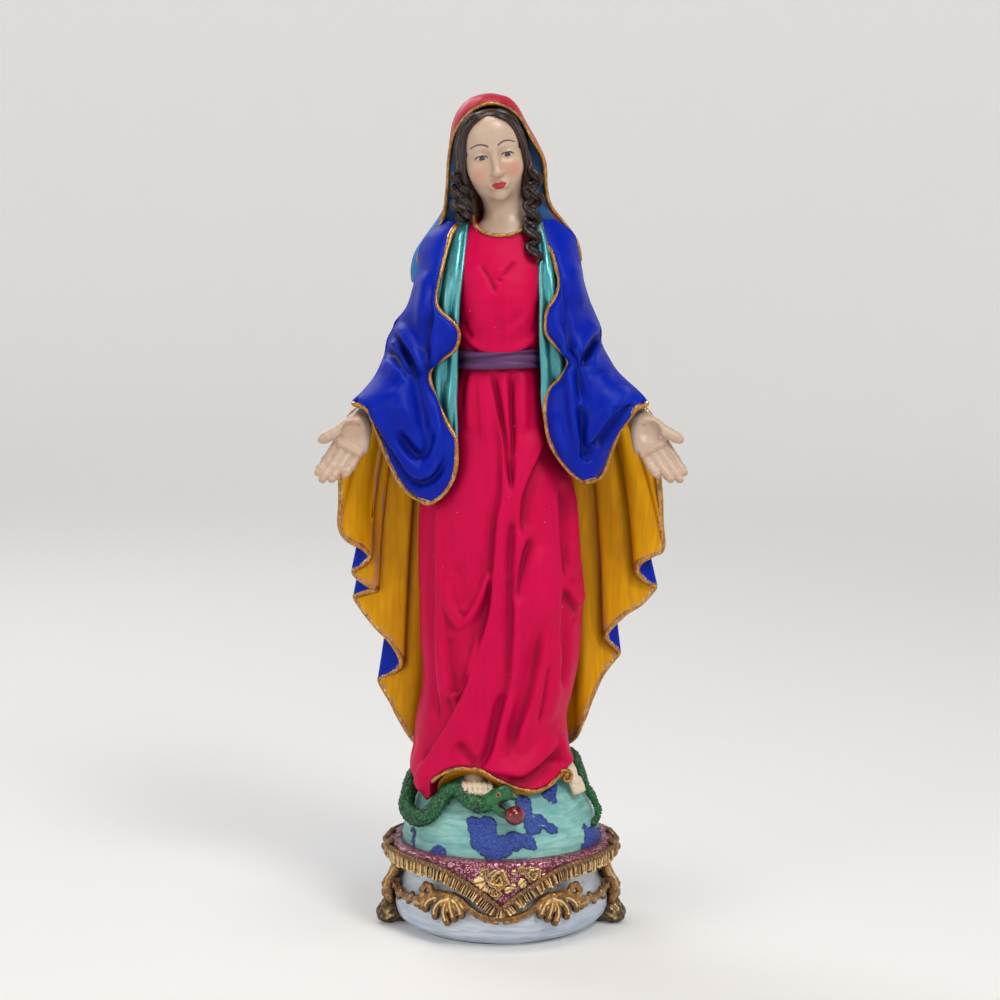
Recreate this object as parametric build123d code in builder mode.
"""Devotional statue of a robed, veiled woman standing on a globe, on a rococo plinth.

Millimetres, +Z up. The statue faces -Y and its origin is the centre of the underside.
Left and right are the viewer's: left is -X. Each casting, garment, ornament and pin is its
own sub-part, and later pieces are cut to sit against the earlier ones.
"""

import os
from copy import copy
from math import cos, radians, sin

from build123d import *

# ---- driving dimensions -------------------------------------------------------------------
TOTAL_HEIGHT = 500.0
FELT_THICKNESS = 1.2
FELT_RADIUS = 52.0
CARD_THICKNESS = 2.0
CAVITY_RADIUS = 46.0
CAVITY_ROOF_Z = 33.0
RIM_RADIUS = 66.0
RIM_TOP_Z = 50.0
SEAT_Z = 44.0
GLOBE_RADIUS = 60.0
GLOBE_CENTRE_Z = 48.0
GLOBE_WALL = 6.0
GLOBE_BOSS_RADIUS = 10.0
PIN_RADIUS = 4.0
PIN_TOP_Z = 150.0
RELIEF_HEIGHT = 1.0
CLOTH_THICKNESS = 1.8
FRINGE_THICKNESS = 2.2
FRINGE_WIDTH = 8.0
GOWN_WALL = 5.0
GOWN_FLOOR_Z = 155.0
WAIST_Z = 344.0
HEM_LINING_TOP_Z = 112.0
SASH_HEIGHT = 11.0
SASH_THICKNESS = 2.0
SNAKE_RADIUS = 5.4
APPLE_RADIUS = 6.0
HAND_PIN_RADIUS = 1.5
VEIL_THICKNESS = 3.0
MANTLE_THICKNESS = 4.0
HEAD_RADIUS = 18.0
HAIR_RADIUS = 21.0
RINGLET_RADIUS = 4.0
EDGE_BREAK = 0.8
REACH = 80.0  # half length of the prisms and boxes used for cutting

CLOTH_RADIUS = RIM_RADIUS + CLOTH_THICKNESS
FRINGE_RADIUS = CLOTH_RADIUS + FRINGE_THICKNESS
SEAT_RADIUS = GLOBE_RADIUS + 0.2
HEM_LINING_INSET = 3.0
HEM_LINING_THICKNESS = 3.0
LINING_THICKNESS = 6.0

# Level ovals: (height, centre x, centre y, half width, half depth)
GOWN = [
    (68, -2, -4, 51, 41),
    (86, -2, -4, 50.5, 38),
    (125, -2, -3, 49.5, 35),
    (195, -1, -2, 49.5, 33.5),
    (255, -2, -2, 44, 30),
    (305, -1, -3, 34, 26),
    (WAIST_Z, -1, -4, 27, 21.5),
]
BODICE = [
    (WAIST_Z, -1, -4, 27, 21.5),
    (362, -1, -6, 31, 25),
    (382, 0, -4, 34, 26),
    (402, 0, 0, 37, 21),
    (414, 0, 1, 25, 16),
    (422, 0, 0, 12, 11),
]
SLEEVE = [
    (255, -50, -16, 27, 30),
    (290, -58, -15, 33, 31),
    (325, -56, -10, 33, 30),
    (360, -46, -5, 26, 29),
    (395, -36, 0, 20, 26),
    (424, -30, 3, 12, 16),
]
VEIL = [
    (388, 0, 12, 51, 21),
    (410, 0, 11, 47, 21),
    (424, -3, 9, 34, 22),
    (440, -3, 8, 31, 25),
    (462, -3, 7, 29.5, 27),
    (482, -5, 5, 24, 24),
    (494, -7, 3, 14, 15),
    (TOTAL_HEIGHT, -8, 2, 3, 4),
]
HEM_LINING_TOP = (HEM_LINING_TOP_Z, -2, -3.4, 49.8, 35.9)
GOWN_CAVITY = [
    (GOWN_FLOOR_Z, -2, -3, 49.5, 34),
    (200, -1, -2, 49.5, 33.5),
    (255, -2, -2, 44, 30),
    (305, -1, -3, 34, 26),
    (WAIST_Z - 9, -1, -4, 28, 22),
]
SASH_CENTRE = (-1, -4)
SASH_OVAL = (29 + SASH_THICKNESS, 23 + SASH_THICKNESS)
# Back mantle: (height, half width, depth of its middle behind the axis)
MANTLE = [
    (100, 52, 40),
    (150, 74, 42),
    (205, 90, 43),
    (262, 96, 43),
    (320, 82, 41),
    (372, 60, 38),
    (404, 48, 34),
]

# Outlines seen from the front, as (x, z)
SLEEVE_OUTLINE = [
    (-30, 425), (-47, 418), (-55, 396), (-67, 358), (-88, 317), (-80, 311), (-73, 290), (-60, 268),
    (-42, 261), (-28, 272), (-26, 288), (-35, 312), (-41, 332), (-34, 346), (-25, 356), (-34, 368),
    (-38, 382), (-33, 405),
]
LINING_OUTLINE = [
    (-24, 424), (-34, 424), (-40, 380), (-28, 352), (-43, 332), (-27, 285), (-24, 330), (-24, 370),
]
VEIL_OPENING = [
    (0, 380), (-36, 380), (-43, 400), (-33, 424), (-28, 445), (-25, 470), (-8, 489), (10, 479), (21, 458),
    (24, 436), (34, 422), (43, 405), (36, 380),
]
HEM_ARCH = [
    (-36, 60), (-37, 88), (-26, 102), (-15, 104), (0, 98), (14, 92), (27, 92), (37, 98), (44, 92), (46, 60),
]
TOE_ARCH = [(-30, 60), (-30, 88), (-14, 98), (4, 92), (14, 84), (14, 60)]
LAND_OUTLINES = [
    [
        (-19, 74), (-9, 77), (-3, 71), (3, 67), (15, 67), (25, 58),
        (15, 59), (4, 54), (-4, 53), (-12, 58), (-18, 64),
    ],
    [(6, 93), (15, 89), (19, 82), (26, 78), (33, 69), (23, 70), (14, 74), (3, 83)],
    [(-38, 58), (-42, 51), (-33, 49), (-32, 53)],
    [(27, 90), (35, 89), (34, 84), (28, 87)],
    [(49, 66), (56, 56), (60, 45), (43, 45), (46, 51)],
]

SNAKE_FRONT = [
    (-38, 24, 92), (-50, 4, 90), (-56, -14, 80), (-53, -30, 72), (-43, -42, 75),
    (-32, -44, 85), (-24, -45, 91), (-15, -53, 86), (-6, -55, 84), (0, -54, 87),
]
SNAKE_HEAD = [(-2, -54, 86), (4, -55, 89), (12, -57, 86)]
SNAKE_JAW = [(-2, -54, 85), (3, -58, 80), (9, -61, 75)]
SNAKE_TAIL = [(36, 24, 94), (48, 10, 91), (54, -8, 82), (57.5, -18, 73), (54, -30, 66)]
APPLE_CENTRE = (8, -63, 81)

# Joints of the left hand: (x, y, z)
FOREARM = (-66, -16, 330)
CUFF = (-77, -23, 319)
WRIST = (-80, -25, 313)
PALM = (-87, -29, 297)
KNUCKLES = [(-93, -31, 293), (-82, -29, 291)]
THUMB = [(-86, -29, 306), (-95, -33, 303), (-105, -36, 298)]
FINGERS = [
    [(-94, -32, 292), (-101, -36, 283), (-106, -38, 276)],
    [(-90, -32, 290), (-98, -38, 281), (-104, -41, 273)],
    [(-86, -31, 288), (-93, -37, 280), (-99, -41, 274)],
    [(-81, -30, 289), (-86, -35, 281), (-91, -39, 276)],
]
FINGER_RADII = [2.5, 2.6, 2.5, 2.3]

# Feet: ankle, ball of the foot, then toes as (root, tip) pairs
FRONT_FOOT = [(-16, -30, 100), (-14, -46, 92)]
FRONT_TOES = [((-22 + 4 * i, -44, 93), (-21.5 + 4 * i, -51, 90 - 0.3 * i)) for i in range(5)]
SIDE_FOOT = [(38, -14, 101), (45, -23, 92)]
SIDE_TOES = [((45 + i, -22 - 2 * i, 92), (49 + i, -27 - 2 * i, 86 - i)) for i in range(3)]

# Head, hair and neck
HEAD_CENTRE = (-2, -6, 460)
HEAD_TILT = (8, -9, 4)
HEAD_STRETCH = (1, 1.12, 1.42)
HAIR_STRETCH = (1, 1.12, 1.36)
NECK = [(0, 0, 418), (-1, 0, 442)]
FACE_WINDOW = [(-19, 462), (-5, 483), (14, 470), (18, 445), (0, 420), (-17, 440)]

# Plinth profile as (radius, z), lower edge of the cloth as (x, z), roses as (x, z, radius) and
# the profile of a rose of radius 1
BELLY = [(54, FELT_THICKNESS), (61.5, 6), (64.5, 15), (62.5, 24), (58.5, 34), (61, 42), (RIM_RADIUS, 47)]
CLOTH_EDGE = [(0, 14), (10, 20), (20, 27), (30, 35), (42, 40.5), (60, 42), (RIM_RADIUS + 6, 44)]
ROSE_PROFILE = [
    (1, 0.15), (0.85, 0.4), (0.7, 0.45), (0.6, 0.3), (0.5, 0.55), (0.35, 0.6), (0.25, 0.45), (0, 0.65),
]
ROSES = [(-7.5, 43, 5.0), (-7.5, 34, 3.6), (-17, 42, 2.8), (18, 43, 4.4), (11, 40, 2.4)]

ACANTHUS_STEM = [(-61, -25, 23), (-53, -39, 22), (-45, -48, 23), (-36, -55.5, 28), (-29, -60, 30)]
ACANTHUS_TAIL = [(-29, -60, 30), (-20, -64, 22), (-12, -66, 18), (-2, -67, 15)]
ACANTHUS_ROOT = (-30, -60, 31)
ACANTHUS_LOBES = [(-35, -56.5, 21), (-31, -58.5, 19), (-27, -60.5, 17), (-22, -62.5, 16), (-18, -63.5, 19)]
ACANTHUS_CURL = [(-40, -53, 26), (-41, -50, 32), (-37, -51, 36)]
BRACKET = [(-69, -2, 50), (-63, -1, 45), (-63, -1, 36), (-68, -2, 26), (-66, -3, 17), (-66, -3, 10)]
BRACKET_LEAVES = [(-67, -8, 30), (-66, 4, 30)]
SCROLL_FOOT = [(-66, -4, 8), (-58, -2, 7.2)]
SCROLL_BUD = (-69, -5, 14.5)


# ---- shared shapes ------------------------------------------------------------------------
def oval_body(stations, grow=0.0):
    """Smooth solid through level ovals, each widened by grow."""
    with BuildPart() as body:
        for z, x, y, half_width, half_depth in stations:
            with BuildSketch(Plane.XY.offset(z)):
                with Locations((x, y)):
                    Ellipse(half_width + grow, half_depth + grow)
        loft()
    return body.part


def front_prism(outline, y_front, y_back, smooth=True):
    """Prism along Y with a closed outline given as (x, z)."""
    with BuildPart() as prism:
        with BuildSketch(Plane.XZ.offset(-y_back)):
            with BuildLine():
                if smooth:
                    Spline(*outline, periodic=True)
                else:
                    Polyline(*outline, close=True)
            make_face()
        extrude(amount=y_back - y_front)
    return prism.part


def limb(start, end, start_radius, end_radius):
    """Tapered rod with round ends."""
    direction = Vector(*end) - Vector(*start)
    with BuildPart() as rod:
        with BuildSketch(Plane(origin=start, z_dir=direction)):
            Circle(start_radius)
        with BuildSketch(Plane(origin=end, z_dir=direction)):
            Circle(end_radius)
        loft()
        with Locations(start):
            Sphere(start_radius)
        with Locations(end):
            Sphere(end_radius)
    return rod.part


def jointed(points, radii):
    """Chain of limbs through the points."""
    with BuildPart() as chain:
        for start, end, r0, r1 in zip(points, points[1:], radii, radii[1:]):
            add(limb(start, end, r0, r1))
    return chain.part


def tube(points, radius, end_radius=None):
    """Round tube along a spline, tapered when end_radius is given."""
    with BuildPart() as swept:
        with BuildLine() as path:
            Spline(*points)
        with BuildSketch(path.line ^ 0):
            Circle(radius)
        if end_radius is None:
            sweep()
        else:
            with BuildSketch(path.line ^ 1):
                Circle(end_radius)
            sweep(multisection=True)
    return swept.part


def flip_x(part):
    return mirror(part, about=Plane.YZ, mode=Mode.PRIVATE)


def flip_y(part):
    return mirror(part, about=Plane.XZ, mode=Mode.PRIVATE)


def egg(centre, rotation, radius, stretch):
    """Sphere stretched along its own axes, then turned and placed."""
    with BuildPart() as ball:
        Sphere(radius)
    return Location(centre, rotation) * scale(ball.part, by=stretch, mode=Mode.PRIVATE)


def largest(part, count=1):
    """The largest solids of a cut part, without the slivers that the cut left."""
    return Compound(part.solids().sort_by(SortBy.VOLUME)[-count:])


def post(radius, height, mode=Mode.ADD):
    """Upright cylinder standing on the current location."""
    return Cylinder(radius, height, align=(Align.CENTER, Align.CENTER, Align.MIN), mode=mode)


def name_part(shape, label, made):
    """Label a finished piece and keep it for export."""
    shape.label = label
    made[label] = shape
    return shape


pieces = {}

# ---- plinth, its closing card and felt ----------------------------------------------------
with BuildPart() as centre_pin:
    with Locations((0, 0, CAVITY_ROOF_Z)):
        post(PIN_RADIUS, PIN_TOP_Z - CAVITY_ROOF_Z)
    chamfer(centre_pin.edges().filter_by(GeomType.CIRCLE), EDGE_BREAK)
name_part(centre_pin.part, "centre_pin", pieces)

with BuildPart() as plinth:
    with BuildSketch(Plane.XZ):
        with BuildLine():
            belly = Spline(*BELLY)
            Polyline(
                belly @ 1,
                (RIM_RADIUS, RIM_TOP_Z),
                (SEAT_RADIUS, RIM_TOP_Z),
                (SEAT_RADIUS, SEAT_Z),
                (0, SEAT_Z),
                (0, CAVITY_ROOF_Z),
                (CAVITY_RADIUS, CAVITY_ROOF_Z),
                (CAVITY_RADIUS, FELT_THICKNESS),
                belly @ 0,
            )
        make_face()
    revolve(axis=Axis.Z)
    add(centre_pin.part, mode=Mode.SUBTRACT)
name_part(plinth.part, "plinth", pieces)

with BuildPart() as base_card:
    with Locations((0, 0, FELT_THICKNESS)):
        post(CAVITY_RADIUS, CARD_THICKNESS)
name_part(base_card.part, "base_card", pieces)

with BuildPart() as felt_pad:
    post(FELT_RADIUS, FELT_THICKNESS)
name_part(felt_pad.part, "felt_pad", pieces)


# ---- cloth over the plinth, with a fringed point at front and back ------------------------
def above_cloth_edge(raise_by=0.0):
    """Everything above the cloth's lower edge, which dips to a point in the middle."""
    right = [(x, z + raise_by) for x, z in CLOTH_EDGE]
    left = [(-x, z) for x, z in reversed(right[1:])]
    side = right[-1][0]
    with BuildPart() as region:
        with BuildSketch(Plane.XZ.offset(-REACH)):
            with BuildLine():
                Polyline(*left, *right, (side, REACH), (-side, REACH), close=True)
            make_face()
        extrude(amount=2 * REACH)
    return region.part


with BuildPart() as drape_cloth:
    post(CLOTH_RADIUS, RIM_TOP_Z + CLOTH_THICKNESS)
    post(GLOBE_RADIUS, REACH, Mode.SUBTRACT)
    add(plinth.part, mode=Mode.SUBTRACT)
    post(RIM_RADIUS - CLOTH_THICKNESS, SEAT_Z, Mode.SUBTRACT)
    add(above_cloth_edge(), mode=Mode.INTERSECT)
name_part(drape_cloth.part, "drape_cloth", pieces)

with BuildPart() as fringe_ring:
    post(FRINGE_RADIUS, RIM_TOP_Z)
    post(CLOTH_RADIUS, RIM_TOP_Z, Mode.SUBTRACT)
    add(above_cloth_edge(), mode=Mode.INTERSECT)
    add(above_cloth_edge(FRINGE_WIDTH), mode=Mode.SUBTRACT)

for side, y_sign in (("front", -1), ("back", 1)):
    with BuildPart() as fringe:
        add(fringe_ring.part)
        with Locations((0, y_sign * REACH, 0)):
            Box(2 * REACH, 2 * REACH, 2 * REACH, mode=Mode.INTERSECT)
    name_part(fringe.part, f"fringe_{side}", pieces)


def rose(radius):
    """Open rose facing +Z: a low bud inside two rolled rings of petals."""
    petals = [(r * radius, z * radius) for r, z in ROSE_PROFILE]
    with BuildPart() as flower:
        with BuildSketch(Plane.XZ):
            with BuildLine():
                Polyline((0, -0.4 * radius), (radius, -0.4 * radius), *petals, close=True)
            make_face()
        revolve(axis=Axis.Z)
    return flower.part


for side, y_sign in (("front", -1), ("back", 1)):
    with BuildPart() as roses:
        for x, z, radius in ROSES:
            y = y_sign * (CLOTH_RADIUS**2 - x**2) ** 0.5
            add(Plane(origin=(x, y, z), z_dir=(x, y, 0)) * rose(radius))
        add(fringe_ring.part, mode=Mode.SUBTRACT)
        post(CLOTH_RADIUS, REACH, Mode.SUBTRACT)
    name_part(roses.part, f"roses_{side}", pieces)

# ---- globe and its raised land ------------------------------------------------------------
with BuildPart() as globe_ball:
    with Locations((0, 0, GLOBE_CENTRE_Z)):
        Sphere(GLOBE_RADIUS)

with BuildPart() as land_ball:
    with Locations((0, 0, GLOBE_CENTRE_Z)):
        Sphere(GLOBE_RADIUS + RELIEF_HEIGHT)

with BuildPart() as globe:
    add(globe_ball.part)
    with Locations((0, 0, GLOBE_CENTRE_Z)):
        Sphere(GLOBE_RADIUS - GLOBE_WALL, mode=Mode.SUBTRACT)
    with Locations((0, 0, SEAT_Z)):
        post(GLOBE_BOSS_RADIUS, GLOBE_RADIUS)
        Box(2 * REACH, 2 * REACH, REACH, align=(Align.CENTER, Align.CENTER, Align.MAX), mode=Mode.SUBTRACT)
    add(centre_pin.part, mode=Mode.SUBTRACT)
name_part(globe.part, "globe", pieces)

with BuildPart() as patches:
    for outline in LAND_OUTLINES:
        add(front_prism(outline, -REACH, 0, smooth=False))
        add(front_prism([(-x, z) for x, z in outline], 0, REACH, smooth=False))

with BuildPart() as land_shell:
    add(land_ball.part)
    add(globe_ball.part, mode=Mode.SUBTRACT)
    add(patches.part, mode=Mode.INTERSECT)
    add(drape_cloth.part, mode=Mode.SUBTRACT)

# ---- side brackets, scroll feet and acanthus sprays ---------------------------------------
with BuildPart() as bracket_left:
    add(tube(BRACKET, 3.4, 4.2))
    with Locations(BRACKET[0]):
        Sphere(3.6)
    with Locations(*BRACKET_LEAVES):
        Sphere(4.0)
    for blocker in (plinth, drape_cloth, fringe_ring, land_ball):
        add(blocker.part, mode=Mode.SUBTRACT)

with BuildPart() as foot_left:
    add(limb(*SCROLL_FOOT, 8, 7.2))
    with Locations(SCROLL_BUD):
        Sphere(4.0)
    add(plinth.part, mode=Mode.SUBTRACT)
    add(bracket_left.part, mode=Mode.SUBTRACT)

bracket_scroll = largest(bracket_left.part)
name_part(bracket_scroll, "bracket_left", pieces)
name_part(foot_left.part, "scroll_foot_left", pieces)
name_part(flip_x(bracket_scroll), "bracket_right", pieces)
name_part(flip_x(foot_left.part), "scroll_foot_right", pieces)

with BuildPart() as spray:
    add(tube(ACANTHUS_STEM, 2.4, 1.8))
    add(tube(ACANTHUS_TAIL, 1.8, 1.2))
    add(tube(ACANTHUS_CURL, 1.8, 2.4))
    for tip in ACANTHUS_LOBES:
        add(limb(ACANTHUS_ROOT, tip, 1.6, 2.4))
    for blocker in (plinth, drape_cloth, fringe_ring, bracket_left):
        add(blocker.part, mode=Mode.SUBTRACT)
name_part(spray.part, "acanthus_front_left", pieces)
name_part(flip_x(spray.part), "acanthus_front_right", pieces)
name_part(flip_y(spray.part), "acanthus_back_left", pieces)
name_part(flip_y(flip_x(spray.part)), "acanthus_back_right", pieces)

# ---- gown, its yellow hem lining, bodice and sash -----------------------------------------
hem_stations = [station for station in GOWN if station[0] < HEM_LINING_TOP_Z] + [HEM_LINING_TOP]

with BuildPart() as hem_core:
    add(oval_body(hem_stations, grow=-HEM_LINING_INSET))

with BuildPart() as hem_lining:
    add(hem_core.part)
    add(oval_body(hem_stations, grow=-HEM_LINING_INSET - HEM_LINING_THICKNESS), mode=Mode.SUBTRACT)
    add(globe_ball.part, mode=Mode.SUBTRACT)
    add(front_prism(TOE_ARCH, -REACH, -20), mode=Mode.SUBTRACT)
name_part(hem_lining.part, "hem_lining", pieces)

with BuildPart() as gown:
    add(oval_body(GOWN))
    add(globe_ball.part, mode=Mode.SUBTRACT)
    add(hem_core.part, mode=Mode.SUBTRACT)
    add(oval_body(GOWN_CAVITY, grow=-GOWN_WALL), mode=Mode.SUBTRACT)
    add(front_prism(HEM_ARCH, -REACH, -20), mode=Mode.SUBTRACT)
    add(centre_pin.part, mode=Mode.SUBTRACT)
name_part(gown.part, "gown", pieces)

with BuildPart() as bodice:
    add(oval_body(BODICE))
    add(gown.part, mode=Mode.SUBTRACT)
name_part(bodice.part, "bodice", pieces)

with BuildPart() as sash:
    with BuildSketch(Plane.XY.offset(WAIST_Z - SASH_HEIGHT / 2)):
        with Locations(SASH_CENTRE):
            Ellipse(*SASH_OVAL)
    extrude(amount=SASH_HEIGHT)
    fillet(sash.edges().filter_by(GeomType.ELLIPSE), 1.5)
    add(gown.part, mode=Mode.SUBTRACT)
    add(bodice.part, mode=Mode.SUBTRACT)
name_part(sash.part, "sash", pieces)

# ---- serpent, apple and feet --------------------------------------------------------------
with BuildPart() as serpent:
    add(tube(SNAKE_FRONT, SNAKE_RADIUS))
    add(tube(SNAKE_TAIL, SNAKE_RADIUS * 0.8, 1.0))
    add(jointed(SNAKE_HEAD, [SNAKE_RADIUS, 5.0, 2.6]))
    add(jointed(SNAKE_JAW, [4.0, 2.6, 1.6]))
    for blocker in (globe_ball, gown, hem_lining):
        add(blocker.part, mode=Mode.SUBTRACT)
name_part(largest(serpent.part, 2), "serpent", pieces)

with BuildPart() as apple:
    with Locations(APPLE_CENTRE):
        Sphere(APPLE_RADIUS)
    add(serpent.part, mode=Mode.SUBTRACT)
    add(globe_ball.part, mode=Mode.SUBTRACT)
name_part(apple.part, "apple", pieces)

with BuildPart() as foot_front:
    add(limb(*FRONT_FOOT, 7, 5))
    for root, tip in FRONT_TOES:
        add(limb(root, tip, 2.4, 2.0))
    for blocker in (globe_ball, gown, hem_lining, serpent):
        add(blocker.part, mode=Mode.SUBTRACT)
name_part(largest(foot_front.part), "foot_front", pieces)

with BuildPart() as foot_side:
    add(limb(*SIDE_FOOT, 6, 4.5))
    for root, tip in SIDE_TOES:
        add(limb(root, tip, 2.2, 1.9))
    for blocker in (globe_ball, gown, hem_lining, serpent):
        add(blocker.part, mode=Mode.SUBTRACT)
name_part(largest(foot_side.part), "foot_side", pieces)

with BuildPart() as land_relief:
    add(land_shell.part)
    for blocker in (serpent, apple, gown, hem_lining, foot_front, foot_side, plinth):
        add(blocker.part, mode=Mode.SUBTRACT)
name_part(land_relief.part, "land_relief", pieces)

# ---- hands, with a steel pin in each wrist ------------------------------------------------
with BuildPart() as hand_pin_left:
    add(limb(FOREARM, WRIST, HAND_PIN_RADIUS, HAND_PIN_RADIUS))

with BuildPart() as hand_left:
    add(jointed([CUFF, WRIST, PALM], [6.5, 6.0, 7.0]))
    add(limb(*KNUCKLES, 4.5, 4.2))
    add(jointed(THUMB, [4.2, 3.0, 2.4]))
    for points, radius in zip(FINGERS, FINGER_RADII):
        add(jointed(points, [radius * 1.15, radius, radius * 0.85]))
    add(hand_pin_left.part, mode=Mode.SUBTRACT)

name_part(hand_left.part, "hand_left", pieces)
name_part(hand_pin_left.part, "hand_pin_left", pieces)
name_part(flip_x(hand_left.part), "hand_right", pieces)
name_part(flip_x(hand_pin_left.part), "hand_pin_right", pieces)

# ---- head, hair and ringlets --------------------------------------------------------------
with BuildPart() as head:
    add(egg(HEAD_CENTRE, HEAD_TILT, HEAD_RADIUS, HEAD_STRETCH))
    add(limb(*NECK, 10.5, 9.5))
    add(bodice.part, mode=Mode.SUBTRACT)
name_part(head.part, "head", pieces)

with BuildPart() as hair:
    add(egg(HEAD_CENTRE, HEAD_TILT, HAIR_RADIUS, HAIR_STRETCH))
    add(front_prism(FACE_WINDOW, -REACH, 2), mode=Mode.SUBTRACT)
    add(head.part, mode=Mode.SUBTRACT)
    add(bodice.part, mode=Mode.SUBTRACT)
name_part(hair.part, "hair", pieces)


def ringlet(top, turns, length, coil, drift):
    """Hanging curl of hair: a loose, tapered coil that drifts sideways as it falls."""
    steps = 4 * turns
    points = []
    for i in range(steps + 1):
        share = i / steps
        angle = radians(90 * i)
        x = top[0] + drift[0] * share + coil * cos(angle)
        y = top[1] + drift[1] * share + coil * sin(angle)
        points.append((x, y, top[2] - length * share))
    return tube(points, RINGLET_RADIUS, 0.6 * RINGLET_RADIUS)


with BuildPart() as ringlet_left:
    add(ringlet((-21, -14, 452), 2, 28, 1.8, (1, -2)))
    for blocker in (head, hair, bodice):
        add(blocker.part, mode=Mode.SUBTRACT)
name_part(ringlet_left.part, "ringlet_left", pieces)

with BuildPart() as ringlet_right:
    add(ringlet((19, -15, 456), 3, 55, 2.0, (3, -9)))
    for blocker in (head, hair, bodice):
        add(blocker.part, mode=Mode.SUBTRACT)
name_part(ringlet_right.part, "ringlet_right", pieces)

# ---- cloak: linings, sleeves, veil and back mantle ----------------------------------------
with BuildPart() as torso_shell:
    add(oval_body(GOWN[4:] + BODICE[1:4], grow=LINING_THICKNESS))
    for blocker in (gown, bodice, sash):
        add(blocker.part, mode=Mode.SUBTRACT)

linings = {}
sleeves = {}
for side, ringlet_part in (("left", ringlet_left), ("right", ringlet_right)):
    turn = flip_x if side == "right" else copy
    with BuildPart() as lining:
        add(torso_shell.part)
        add(turn(front_prism(LINING_OUTLINE, -REACH, 0)), mode=Mode.INTERSECT)
        for blocker in (head, hair, ringlet_part):
            add(blocker.part, mode=Mode.SUBTRACT)
    linings[side] = largest(lining.part)
    with BuildPart() as sleeve:
        add(turn(oval_body(SLEEVE)))
        add(turn(front_prism(SLEEVE_OUTLINE, -REACH, REACH)), mode=Mode.INTERSECT)
        for blocker in (gown, bodice, sash, ringlet_part, head, hair):
            add(blocker.part, mode=Mode.SUBTRACT)
        add(linings[side], mode=Mode.SUBTRACT)
        add(turn(hand_left.part), mode=Mode.SUBTRACT)
        add(turn(hand_pin_left.part), mode=Mode.SUBTRACT)
    sleeves[side] = largest(sleeve.part)
    name_part(linings[side], f"cloak_lining_{side}", pieces)
    name_part(sleeves[side], f"sleeve_{side}", pieces)

with BuildPart() as veil:
    add(oval_body(VEIL))
    add(oval_body(VEIL[:-1], grow=-VEIL_THICKNESS), mode=Mode.SUBTRACT)
    add(front_prism(VEIL_OPENING, -REACH, 4), mode=Mode.SUBTRACT)
    for blocker in (bodice, head, hair, ringlet_left, ringlet_right):
        add(blocker.part, mode=Mode.SUBTRACT)
    for side in ("left", "right"):
        add(sleeves[side], mode=Mode.SUBTRACT)
        add(linings[side], mode=Mode.SUBTRACT)
name_part(largest(veil.part), "veil", pieces)


def mantle_arc(half_width, depth):
    """Curve from side to side around the back, for one edge of the mantle's section."""
    shoulder = (0.55 * half_width, 0.8 * depth)
    return Spline((-half_width, 2), (-shoulder[0], shoulder[1]), (0, depth), shoulder, (half_width, 2))


with BuildPart() as mantle_back:
    for z, half_width, depth in MANTLE:
        with BuildSketch(Plane.XY.offset(z)):
            with BuildLine():
                outer = mantle_arc(half_width, depth)
                inner = mantle_arc(half_width - MANTLE_THICKNESS, depth - MANTLE_THICKNESS)
                Line(outer @ 0, inner @ 0)
                Line(outer @ 1, inner @ 1)
            make_face()
    loft()
    for blocker in (gown, hem_lining, bodice, sash, serpent, globe_ball):
        add(blocker.part, mode=Mode.SUBTRACT)
    for side in ("left", "right"):
        add(sleeves[side], mode=Mode.SUBTRACT)
    add(veil.part, mode=Mode.SUBTRACT)
name_part(largest(mantle_back.part), "mantle_back", pieces)

# ---- export -------------------------------------------------------------------------------
os.makedirs("parts", exist_ok=True)
for label, shape in pieces.items():
    export_step(shape, f"parts/{label}.step")
